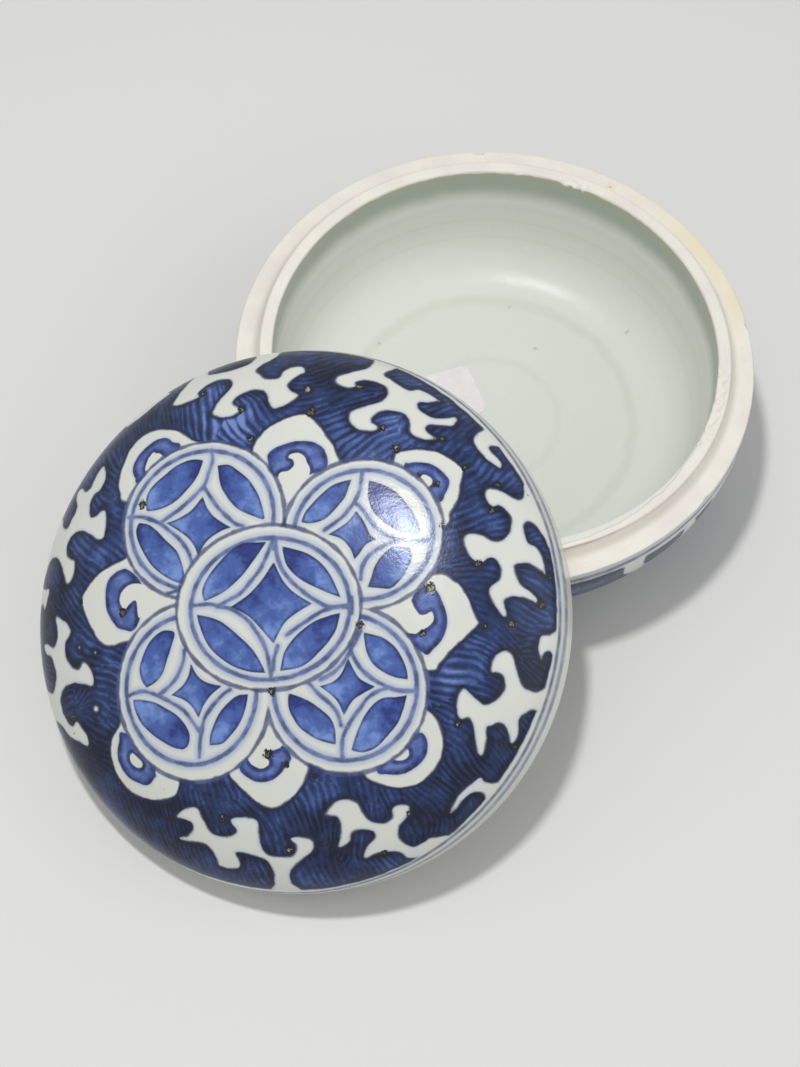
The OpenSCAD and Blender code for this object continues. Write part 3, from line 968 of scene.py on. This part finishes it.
def rim_lines(place, colour, s):
    """A fine dark line round the rim, and a broader, paler one beyond it, with a faint bluish tint between
    them that is partly painted shade.
    """
    sway = (noise(place, 0.12, 2.0) - 0.5) * 0.4
    first = abs(s - FINE_LINE + sway).step(0.6, 0.1)
    second = abs(s - BROAD_LINE + sway).step(1.2, 0.3) * 0.9
    tone = noise(place, 0.5, 2.0).step(0.2, 0.7) * 0.35 + 0.5
    # Painted shade in part: a faint bluish tint over the band between the two lines.
    colour = mix(abs(s - (FINE_LINE + BROAD_LINE) / 2 + sway).step(1.4, 1.0) * 0.25, colour, BLEED_BLUE)
    return mix(first.most(second) * tone, colour, RIM_LINE)


def iron_specks(place, colour, distance, strength):
    """Ragged brown specks with dark rims, scorched through the glaze, their centres mixed with a pale colour
    that is partly a painted glint, and a scatter of fine black ones.
    """
    ragged = distance + (noise(place, 2.0, 2.0, 0.7) - 0.5) * (strength * 1.3 + 0.2)
    dark = mix(ragged.step(0.18, -0.06) * strength, colour, IRON_DARK)
    # Painted glint in part: pale speck centres where the glaze's glints would shine.
    burnt_and_glint = mix(noise(place, 1.7, 2.0).step(0.42, 0.58), IRON_BROWN, IRON_PALE_AND_GLINT)
    dark = mix(ragged.step(-0.24, -0.46) * strength * 0.8, dark, burnt_and_glint)
    _, away, own = cells(place, SPECK_CELLS, "3D")
    fine = (away / SPECK_CELLS).step(0.22, 0.1) * own.step(0.72, 0.78)
    return mix(fine * (strength - 0.2) * 0.8, dark, IRON_DARK)


def painted_colour(tree, place, lid):
    """The whole painting. The bowl has only the waves, the foam and the lines."""
    u, v, s = attribute(tree, "place")
    flat = vector(u, v)
    foam, along_u, along_v = attribute(tree, "waves")
    wobble = (noise(flat, 0.6, 3.0) - 0.5) * 0.3
    white = glaze_white(place)
    central, outer, pale = attribute(tree, "coins")
    shore = foam + wobble
    waves = wave_colour(u, v, along_u, along_v, pale, shore)
    foam_white = mix(shore.step(-0.7, -0.05) * 0.42, white, BLEED_BLUE)
    ink = mix(noise(flat, 0.7, 2.0).step(0.4, 0.65), OUTLINE_BLUE, OUTLINE_BLACK)
    colour = outlined(flat, waves, foam_white, shore, ink, OUTLINE_HALF)
    if lid:
        cloud_white, blue, curl = attribute(tree, "clouds")
        cloud = cloud_colour(flat, white, blue, curl, wobble)
        colour = outlined(flat, colour, cloud, cloud_white + wobble, OUTLINE_BLUE, OUTLINE_HALF)
        fine = wobble * 0.5
        ring = mix(0.4, line_colour(flat), OUTLINE_BLUE)
        for name, edge, half in (("outer", outer, OUTLINE_HALF), ("central", central, OUTLINE_HALF + 0.01)):
            ink, fill, tone = attribute(tree, name)
            coin = coin_colour(flat, white, ink, fill, tone, fine)
            colour = outlined(flat, colour, coin, edge + fine, ring, half)
    return rim_lines(flat, colour, s)


def biscuit_colour(place, ragged, chip, crease_shade, stain, lip_edge):
    """Bare fired clay: creamy, stained in places, rough and paler where it is chipped, and greyer in the
    crease at the lip's foot as painted shade.
    """
    clay = mix(noise(place, 0.16, 3.0).step(0.35, 0.7) * 0.8, BISCUIT, BISCUIT_PINK)
    grain = noise(place, 2.2, 3.0, 0.7)
    clay = mix(grain.step(0.5, 0.8) * 0.2, clay, BISCUIT_GREY)
    spread = stain + (noise(place, 0.25, 3.0) - 0.5) * 1.2
    clay = mix(spread.step(0.3, 1.1) * 0.6, clay, BISCUIT_STAIN)
    clay = mix(stain.step(1.3, 1.9), clay, RUST)
    # Painted shade: the clay turns greyer in the crease where the lip meets the ledge.
    clay = mix((crease_shade + (grain - 0.5) * 0.3).step(1.0, 0.0) * 0.55, clay, BISCUIT_GREY)
    worn = (lip_edge + (noise(place, 0.5, 3.0) - 0.5) * 0.3).step(0.35, 0.05)
    clay = mix(worn * 0.7, clay, LIP_LINE)
    broken = mix(grain.step(0.4, 0.7) * 0.15, BISCUIT, BISCUIT_GREY)
    clay = mix(chip.step(0.1, -0.1), clay, broken)
    return mix(abs(ragged).step(0.22, 0.04) * 0.4, clay, GLAZE_EDGE)


def inside_glaze(place, radius, depth):
    """The bowl's plain glaze: greenish and darker in a band under the lip, for glaze pooled there and as
    painted shade, with faint rings from the wheel.
    """
    white = glaze_white(place)
    drift = (noise(place, 0.15, 2.0) - 0.5) * 1.6
    white = mix(0.8, white, INSIDE_WHITE)
    # Painted shade: the band under the lip turns darker green, for glaze pooled there and for shade on the
    # upright wall.
    thick_glaze_shade = (depth + drift).step(SHADE_DEPTH + 1.5, SHADE_DEPTH - 2.5)
    white = mix(thick_glaze_shade * 0.8, white, GLAZE_POOL_AND_SHADE)
    streaks = noise(vector(radius, depth), 0.7, 2.0).step(0.45, 0.7)
    white = mix(streaks * depth.step(17, 12) * 0.13, white, GLAZE_POOL_AND_SHADE)
    white = mix((depth + drift * 0.3).step(1.8, 0.2) * 0.6, white, GLAZE_OLIVE)
    rings = abs(radius - OUTER_RING + drift).step(1.4, 0.2) * 0.13
    rings = rings.most(abs(radius - INNER_RING + drift).step(1.0, 0.1) * 0.08)
    return mix(rings, white, GLAZE_POOL_AND_SHADE)


def porcelain(name, lid):
    """Glossy glaze over the painting, plain glaze where nothing is painted, and bare biscuit on the rims."""
    material, tree, shader = new_material(name)
    place = skin_place(tree)
    bare, painted, speck = attribute(tree, "zones")
    chip, crease_shade, stain = attribute(tree, "wear_and_shade")
    turned_radius, depth, lip_edge = attribute(tree, "turning")

    plain = inside_glaze(place, turned_radius, depth)
    colour = mix(painted.step(-0.1, 0.1), plain, painted_colour(tree, place, lid))
    colour = iron_specks(place, colour, speck, painted.step(-0.1, 0.1) * 0.76 + 0.24)

    edge_noise = (noise(place, 0.3, 4.0, 0.6) - 0.5) * 0.9
    chip = chip + (noise(place, 0.8, 2.0) - 0.5) * 1.0
    ragged = bare.most(chip * -1.0) + edge_noise
    is_bare = ragged.step(-0.06, 0.06)
    clay = biscuit_colour(place, ragged, chip, crease_shade, stain, lip_edge)
    colour = mix(is_bare, colour, clay)

    peel = noise(place, 2.6, 2.0, 0.6) * 0.018
    waver = noise(place, 0.4, 1.0) * 0.05
    rings = (turned_radius * 2.9).math("SINE") * 0.004
    outer_ridge = abs(turned_radius - OUTER_RING - 0.3).step(1.3, 0.0) * 0.04
    inner_ridge = abs(turned_radius - INNER_RING - 0.5).step(1.0, 0.0) * 0.02
    speck_pit = speck.step(0.2, -0.5) * 0.03
    glaze_relief = peel + waver - speck_pit + rings + (outer_ridge + inner_ridge)
    clay_relief = noise(place, 3.0, 4.0, 0.7) * 0.05 - chip.step(0.2, -0.4) * 0.06
    relief = glaze_relief + (clay_relief - glaze_relief) * is_bare - ragged.step(-0.1, 0.25) * 0.06

    feed(shader.inputs["Base Color"], colour)
    gloss = noise(place, 0.25, 3.0) * 0.1 - painted.step(-0.1, 0.1) * 0.11 + 0.29
    feed(shader.inputs["Roughness"], gloss + is_bare * 0.5)
    shader.inputs["Specular IOR Level"].default_value = 0.3
    add_relief(shader, relief)
    return material


def paper():
    """Thin coated paper, a little warm, with faint fibres."""
    material, tree, shader = new_material("paper")
    place = skin_place(tree)
    fibre = noise(place, 1.6, 5.0, 0.65)
    cloud = noise(place, 0.2, 2.0)
    tint = mix(cloud.step(0.3, 0.7), PAPER_WHITE, PAPER_PINK)
    feed(shader.inputs["Base Color"], mix(fibre.step(0.35, 0.75) * 0.25, tint, PAPER_GREY))
    shader.inputs["Roughness"].default_value = 0.62
    add_relief(shader, fibre * 0.012)
    return material


def plain_floor():
    """A pale matt floor under the object."""
    material, _, shader = new_material("pale_floor")
    shader.inputs["Base Color"].default_value = FLOOR_GREY
    shader.inputs["Roughness"].default_value = 0.9
    return material


# Pieces

def bare_distance(length, stretches):
    """How far inside an unglazed stretch of the section each length lies, negative on glaze."""
    return np.max([np.minimum(length - start, end - length) for start, end in stretches], axis=0)


# How many rings of the lid's crown are a grid of squares, how far out they reach, and how far apart they are
LID_CORE = 92
LID_CORE_REACH = 24
LID_CORE_STEP = LID_CORE_REACH / LID_CORE


def lid_section():
    """The lid's half section, from the crown over the rim and up the cavity, and where its parts start."""
    radius = lid_r - SKIN_EASE
    top = joined(dome(radius, skirt_h, lid_h - skirt_h - SKIN_EASE, dome_power),
                 line((radius, skirt_h), (radius, edge_r), 0.3))
    length = lengths(top)
    core_end = np.argmax(length > LID_CORE * LID_CORE_STEP)
    core = evenly(top[: core_end + 1], LID_CORE_STEP)[: LID_CORE + 1]
    rest = evenly(joined(core[-1:], top[core_end:]), 0.3)
    outside = joined(core, rest)
    inner = seam_r - ledge_w + seat_gap
    rim = joined(arc(radius - edge_r, edge_r, edge_r, 0, -90, 5),
                 line((radius - edge_r, 0), (inner + edge_r, 0), 0.4),
                 arc(inner + edge_r, edge_r, edge_r, 270, 180, 5))
    cavity = joined(line((inner, edge_r), (inner, seat_h), 0.5),
                    evenly(dome(inner, seat_h, lid_h - crown_t - seat_h, dome_power, 0, 89.5), 1.2))
    cavity = np.concatenate([cavity, [[0, lid_h - crown_t]]])
    return joined(outside, rim, cavity), len(outside), len(outside) + len(rim)


def lean_points(points):
    """Points of the upright lid, moved to where the lid leans."""
    turn = math.radians(LEAN)
    x, y, z = points.T
    return np.column_stack([x, y * math.cos(turn) - z * math.sin(turn) + LID_Y,
                            y * math.sin(turn) + z * math.cos(turn) + RIM_Z])


def make_lid():
    """The painted lid."""
    section, outside_end, rim_end = lid_section()
    row, angle, faces = turned(section, LID_CORE, rim_end - 3)
    radius, height = section[row].T
    points = np.column_stack([radius * np.cos(angle), radius * np.sin(angle), height])
    lid = mesh_object("lid_porcelain", lean_points(points), faces)
    length = lengths(section)[row]
    on_photo = angle - math.radians(VIEW_AZIMUTH)
    places = np.column_stack([length * np.cos(on_photo), length * np.sin(on_photo)])
    painted = row < outside_end
    radius = painted_radius(places, length)
    write_attribute(lid, "place", places[:, 0], places[:, 1], radius)
    paint_lid(lid, places, radius, painted)
    rim_start = lengths(section)[outside_end - 1] - 0.3
    rim_stop = lengths(section)[rim_end - 1] + 1.2
    bare = bare_distance(length, [(rim_start, rim_stop)])
    specks = np.where(painted, speck_distance(places, SPECKS), REACH)
    write_attribute(lid, "zones", bare, np.where(painted, 1, -1), specks)
    far = np.full(len(row), REACH)
    write_attribute(lid, "wear_and_shade", far, far, far * 0)
    nowhere = np.full(len(row), NOWHERE)
    write_attribute(lid, "turning", np.where(painted, NOWHERE, section[row][:, 0]), nowhere, far)
    lid.data.materials.append(porcelain("lid_glaze", lid=True))
    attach(lid, "lid")
    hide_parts("lid")


# How many rings of the bowl's floor are a grid of squares
BASE_CORE = 56
# How far under the lip's top the upright band of the inside wall ends, and how the wall bends in below it
SHADE_DEPTH = 5.6
WALL_BEND = 1.4
BEND_HEIGHT = 10
# The bowl shows the rim of the same painting: where it starts at the ledge, its scale and its turn
PAINT_START = 41.7
PAINT_SCALE = 0.72
PAINT_TURN = 2.1


def belly_points(radius, bottom):
    """The bowl's outside curve from the band down to the foot ring."""
    foot_angle = math.degrees(math.acos((foot_r / seam_r) ** (belly_power / 2)))
    depth = (ledge_h - band_h - foot_h) / math.sin(math.radians(foot_angle))
    curve = dome(radius, ledge_h - band_h, -depth, belly_power, 0, foot_angle)
    return curve[curve[:, 1] > bottom]


def base_section():
    """The bowl's half section, from the floor over the lip and under the foot, and where its parts start."""
    outer = seam_r - SKIN_EASE
    seat_r = seam_r - ledge_w
    lip_r = seat_r - cove_w
    inner = lip_r - lip_t
    wall_top = lip_top - edge_r
    turn = np.radians(np.linspace(90, 0, 2000))
    cosine = np.clip(np.cos(turn), 0, 1) ** (2 / hollow_power)
    sine = np.clip(np.sin(turn), 0, 1) ** (2 / hollow_power)
    hollow = np.column_stack([floor_r + (inner - floor_r) * cosine, wall_top - (wall_top - floor_z) * sine])
    below = np.clip((lip_top - hollow[:, 1] - SHADE_DEPTH) / BEND_HEIGHT, 0, 1)
    hollow[:, 0] -= WALL_BEND * below * (1 - below) ** 2
    floor = evenly(line((0, floor_z), (floor_r, floor_z), 1), floor_r / BASE_CORE)
    inside = joined(floor, evenly(hollow, 0.42))
    rise = np.radians(np.linspace(90, 0, 8))
    cove = np.column_stack([seat_r - cove_w * np.sin(rise), ledge_h + (lip_h - edge_r) * (1 - np.cos(rise))])
    lip = joined(arc(inner + edge_r, wall_top, edge_r, 180, 90, 5),
                 line((inner + edge_r, lip_top), (lip_r - edge_r, lip_top), 0.22),
                 arc(lip_r - edge_r, wall_top, edge_r, 90, 0, 5),
                 cove,
                 line((seat_r, ledge_h), (outer - edge_r, ledge_h), 0.22),
                 arc(outer - edge_r, ledge_h - edge_r, edge_r, 90, 0, 5))
    belly = evenly(joined(line((outer, ledge_h - edge_r), (outer, ledge_h - band_h), 0.3),
                          belly_points(outer, foot_h)), 0.34)
    foot_in = foot_r - foot_w
    foot = joined(line((foot_r, foot_h), (foot_r, edge_r), 0.4),
                  arc(foot_r - edge_r, edge_r, edge_r, 0, -90, 4),
                  line((foot_r - edge_r, 0), (foot_in + edge_r, 0), 0.4),
                  arc(foot_in + edge_r, edge_r, edge_r, 270, 180, 4),
                  line((foot_in, edge_r), (foot_in, foot_h), 0.4))
    recess = line((foot_in, foot_h), (0, foot_h), 2.0)
    parts = [inside, lip, belly, foot, recess]
    ends = np.cumsum([len(part) for part in parts])
    return joined(*parts), ends


# Chips on the bowl's rim: degrees round from +X, radius, height and size
CHIPS = [
    (126.6, 38.1, 24.5, 0.8), (117, 32.6, 26.3, 0.5), (103.4, 32.7, 26.3, 0.8), (101.2, 32.8, 26.2, 0.75),
    (98.8, 32.7, 26.2, 0.6), (27.5, 32.8, 26.2, 0.5), (25, 32.9, 26.2, 0.8), (22.3, 33, 26.3, 1.0),
    (19.6, 33.2, 26.2, 0.9), (17, 32.9, 26.3, 1.0), (14.3, 33.1, 26.2, 0.8), (11.8, 32.9, 26.3, 0.8),
    (9.2, 33.1, 26.2, 0.6), (5, 32.8, 26.2, 0.4), (43, 38.1, 24.4, 0.4), (-5, 38, 24.4, 0.3),
]

# Dark specks on the bowl's glazed floor: degrees round, radius and size
FLOOR_SPECKS = [(94, 15.3, 0.3), (114, 21.3, 0.22), (175, 21.9, 0.25), (69, 27, 0.3)]


def chip_distance(points):
    """Each point's distance to the edge of the nearest chip, at most REACH."""
    found = np.full(len(points), REACH)
    for degrees, radius, height, size in CHIPS:
        turn = math.radians(degrees)
        centre = (radius * math.cos(turn), base_y + radius * math.sin(turn), height)
        found = np.minimum(found, np.sqrt(((points - centre) ** 2).sum(axis=1)) - size)
    jags = np.sin(points @ [3.1, 1.3, 2.0]) * np.sin(points @ [-1.2, 2.7, 2.0])
    return found + 0.35 * jags * (found < 1)


def bowl_specks(points, height, radius):
    """The distance to the floor's specks."""
    places = [((r * math.cos(math.radians(a)), base_y + r * math.sin(math.radians(a))), size)
              for a, r, size in FLOOR_SPECKS]
    return np.where((height < ledge_h - 8) & (radius < 31), speck_distance(points[:, :2], places), REACH)


def section_distance(section, length, radius, height):
    """How far each length along the section is from the point nearest to a place, at most REACH."""
    nearest = np.argmin(np.hypot(section[:, 0] - radius, section[:, 1] - height))
    return np.minimum(abs(length - lengths(section)[nearest]), REACH)


def rim_stain(degrees, radius, height):
    """How yellow the ledge is: most on its far right, with one rusty spot."""
    amount = np.exp(-((degrees - 62) / 30) ** 2)
    spot = np.hypot((degrees - 93.5) * 0.63, radius - 36.1)
    amount = np.where(spot < 1.2, amount + 1.5 * np.clip(1.1 - spot, 0, 1), amount)
    return amount * np.clip(radius - 35, 0, 1) * (height > ledge_h - 2)


def make_base():
    """The bowl, bare inside but for its glaze, and painted outside."""
    section, ends = base_section()
    along = lengths(section)
    row, angle, faces = turned(section, BASE_CORE, ends[3])
    radius, height = section[row].T
    points = np.column_stack([radius * np.cos(angle), base_y + radius * np.sin(angle), height])
    chip = chip_distance(points)
    depth = np.clip((0.2 - chip) * 0.6, 0, 0.45) * (height > ledge_h - 1)
    dent = points.copy()
    dent[:, 2] -= depth
    dent[:, 0] -= depth * np.cos(angle) * (radius > 36)
    dent[:, 1] -= depth * np.sin(angle) * (radius > 36)
    base = mesh_object("bowl_porcelain", dent, faces)
    length = along[row]
    ledge_edge = along[ends[1] - 2]
    down = length - ledge_edge
    s = PAINT_START - down * PAINT_SCALE
    places = np.column_stack([s * np.cos(angle + PAINT_TURN), s * np.sin(angle + PAINT_TURN)])
    painted = (row >= ends[1] - 4) & (row < ends[2] - 2)
    write_attribute(base, "place", places[:, 0], places[:, 1], s)
    paint_waves(base, places, s, painted)
    degrees = (np.degrees(angle) + 180) % 360 - 180
    near_side = np.exp(-((degrees + 40) / 45) ** 2)
    lip_start = along[ends[0] - 1] - 0.15 + 1.4 * near_side
    foot_start = along[ends[2] + 5]
    foot_end = along[ends[3] - 6]
    bare = bare_distance(length, [(lip_start, ledge_edge - 0.2), (foot_start, foot_end)])
    bare = np.where(abs(length - ledge_edge) < 1.5, bare * 3, bare)
    write_attribute(base, "zones", bare, np.where(painted, 1, -1), bowl_specks(points, height, radius))
    # Painted shade: the crease at the lip's foot, where the clay is painted greyer.
    crease_shade = section_distance(section, length, seam_r - ledge_w - 0.4, ledge_h + 0.2)
    lip_edge = section_distance(section, length, seam_r - ledge_w - cove_w, lip_top - 0.2)
    lip_edge = lip_edge + 1.5 * (1 - near_side)
    write_attribute(base, "wear_and_shade", chip, crease_shade, rim_stain(degrees, radius, height))
    inside = row < ends[0]
    write_attribute(base, "turning", np.where(inside, radius, NOWHERE),
                    np.where(inside, lip_top - height, NOWHERE), lip_edge)
    base.data.materials.append(porcelain("bowl_glaze", lid=False))
    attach(base, "base")
    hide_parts("base")


def make_label():
    """The bare paper card on the bowl's floor."""
    middle = (label_low + label_high) / 2
    corner_u = label_w / 2 - label_corner
    corner_v = label_l / 2 - label_corner
    corners = []
    for quarter, (side_u, side_v) in enumerate([(1, 1), (-1, 1), (-1, -1), (1, -1)]):
        start = 90 * quarter
        corners.append(arc(side_u * corner_u, side_v * corner_v, label_corner, start, start + 90, 10))
    rim = np.concatenate(corners)
    rings = [(1.0, 0.0), (1.0, label_t - 0.05)] + [(share, label_t) for share in (0.99, 0.9, 0.6, 0.3)]
    turn = math.radians(label_turn)
    points, faces = [], []
    for share, height in rings:
        u, v = (rim * share).T
        points.append(np.column_stack([middle[0] + u * math.cos(turn) - v * math.sin(turn),
                                       middle[1] + u * math.sin(turn) + v * math.cos(turn),
                                       np.full(len(rim), floor_z + height)]))
    count = len(rim)
    for k in range(len(rings) - 1):
        for m in range(count):
            after = (m + 1) % count
            faces.append([k * count + m, k * count + after, (k + 1) * count + after, (k + 1) * count + m])
    faces.append(list(range(count))[::-1])
    faces.append([(len(rings) - 1) * count + m for m in range(count)])
    label = mesh_object("paper_label_card", np.concatenate(points), faces, smooth=False)
    label.data.materials.append(paper())
    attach(label, "base")
    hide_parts("paper_label")


# Stage

def make_camera():
    """The photograph's view."""
    azimuth, elevation, roll = [math.radians(a) for a in (VIEW_AZIMUTH, VIEW_ELEVATION, VIEW_ROLL)]
    back = Vector((math.cos(elevation) * math.sin(azimuth), -math.cos(elevation) * math.cos(azimuth),
                   math.sin(elevation)))
    right = Vector((math.cos(azimuth), math.sin(azimuth), 0))
    up = back.cross(right)
    across = right * math.cos(roll) - up * math.sin(roll)
    upward = right * math.sin(roll) + up * math.cos(roll)
    data = bpy.data.cameras.new("camera")
    data.lens = VIEW_LENS
    data.sensor_width = 36
    data.clip_start = 0.01
    data.clip_end = 10
    camera = bpy.data.objects.new("camera", data)
    bpy.context.scene.collection.objects.link(camera)
    place = (Vector(VIEW_AIM) + back * VIEW_DISTANCE) * MM
    camera.matrix_world = Matrix.Translation(place) @ Matrix((across, upward, back)).transposed().to_4x4()
    bpy.context.scene.camera = camera


def area_light(name, direction, distance, size, watts, aim=(0, 0, 15)):
    """A round soft light that faces the object."""
    data = bpy.data.lights.new(name, "AREA")
    data.shape = "DISK"
    data.size = size * MM
    data.energy = watts
    lamp = bpy.data.objects.new(name, data)
    bpy.context.scene.collection.objects.link(lamp)
    toward = Vector(direction).normalized()
    lamp.location = (Vector(aim) + toward * distance) * MM
    lamp.rotation_mode = "QUATERNION"
    lamp.rotation_quaternion = toward.to_track_quat("Z", "Y")


def make_world(strength, backdrop):
    """Even light from all round, and a pale backdrop that the camera and reflections see."""
    world = bpy.data.worlds.new("studio")
    bpy.context.scene.world = world
    world.use_nodes = True
    tree = world.node_tree
    tree.nodes.clear()
    light = tree.nodes.new("ShaderNodeBackground")
    light.inputs["Color"].default_value = (1, 1, 1, 1)
    light.inputs["Strength"].default_value = strength
    seen = tree.nodes.new("ShaderNodeBackground")
    seen.inputs["Color"].default_value = backdrop
    seen.inputs["Strength"].default_value = 1.0
    path = tree.nodes.new("ShaderNodeLightPath")
    choice = tree.nodes.new("ShaderNodeMixShader")
    output = tree.nodes.new("ShaderNodeOutputWorld")
    shown = Value(path.outputs["Is Camera Ray"])
    for kind in ("Is Glossy Ray", "Is Transmission Ray"):
        shown = shown.most(Value(path.outputs[kind]))
    feed(choice.inputs[0], shown)
    tree.links.new(light.outputs[0], choice.inputs[1])
    tree.links.new(seen.outputs[0], choice.inputs[2])
    tree.links.new(choice.outputs[0], output.inputs["Surface"])


FLOOR_WIDTH = 6000
# The floor lies this far under the table's plane, so that it doesn't meet the feet's flat faces
FLOOR_GAP = 0.02


def make_floor():
    """A wide pale floor."""
    half = FLOOR_WIDTH / 2
    corners = [(-half, -half, 0), (half, -half, 0), (half, half, 0), (-half, half, 0)]
    floor = mesh_object("floor", corners, [[0, 1, 2, 3]], smooth=False)
    floor.location.z = -FLOOR_GAP * MM
    floor.data.materials.append(plain_floor())


make_camera()
make_world(strength=0.47, backdrop=BACKDROP_WHITE)
area_light("key", direction=(-0.067, -0.129, 1), distance=377, size=30, watts=0.7)
area_light("side", direction=(0.8, 0.25, 0.5), distance=900, size=900, watts=1.4)
make_floor()
make_base()
make_lid()
make_label()

scene = bpy.context.scene
scene.view_settings.view_transform = "Standard"
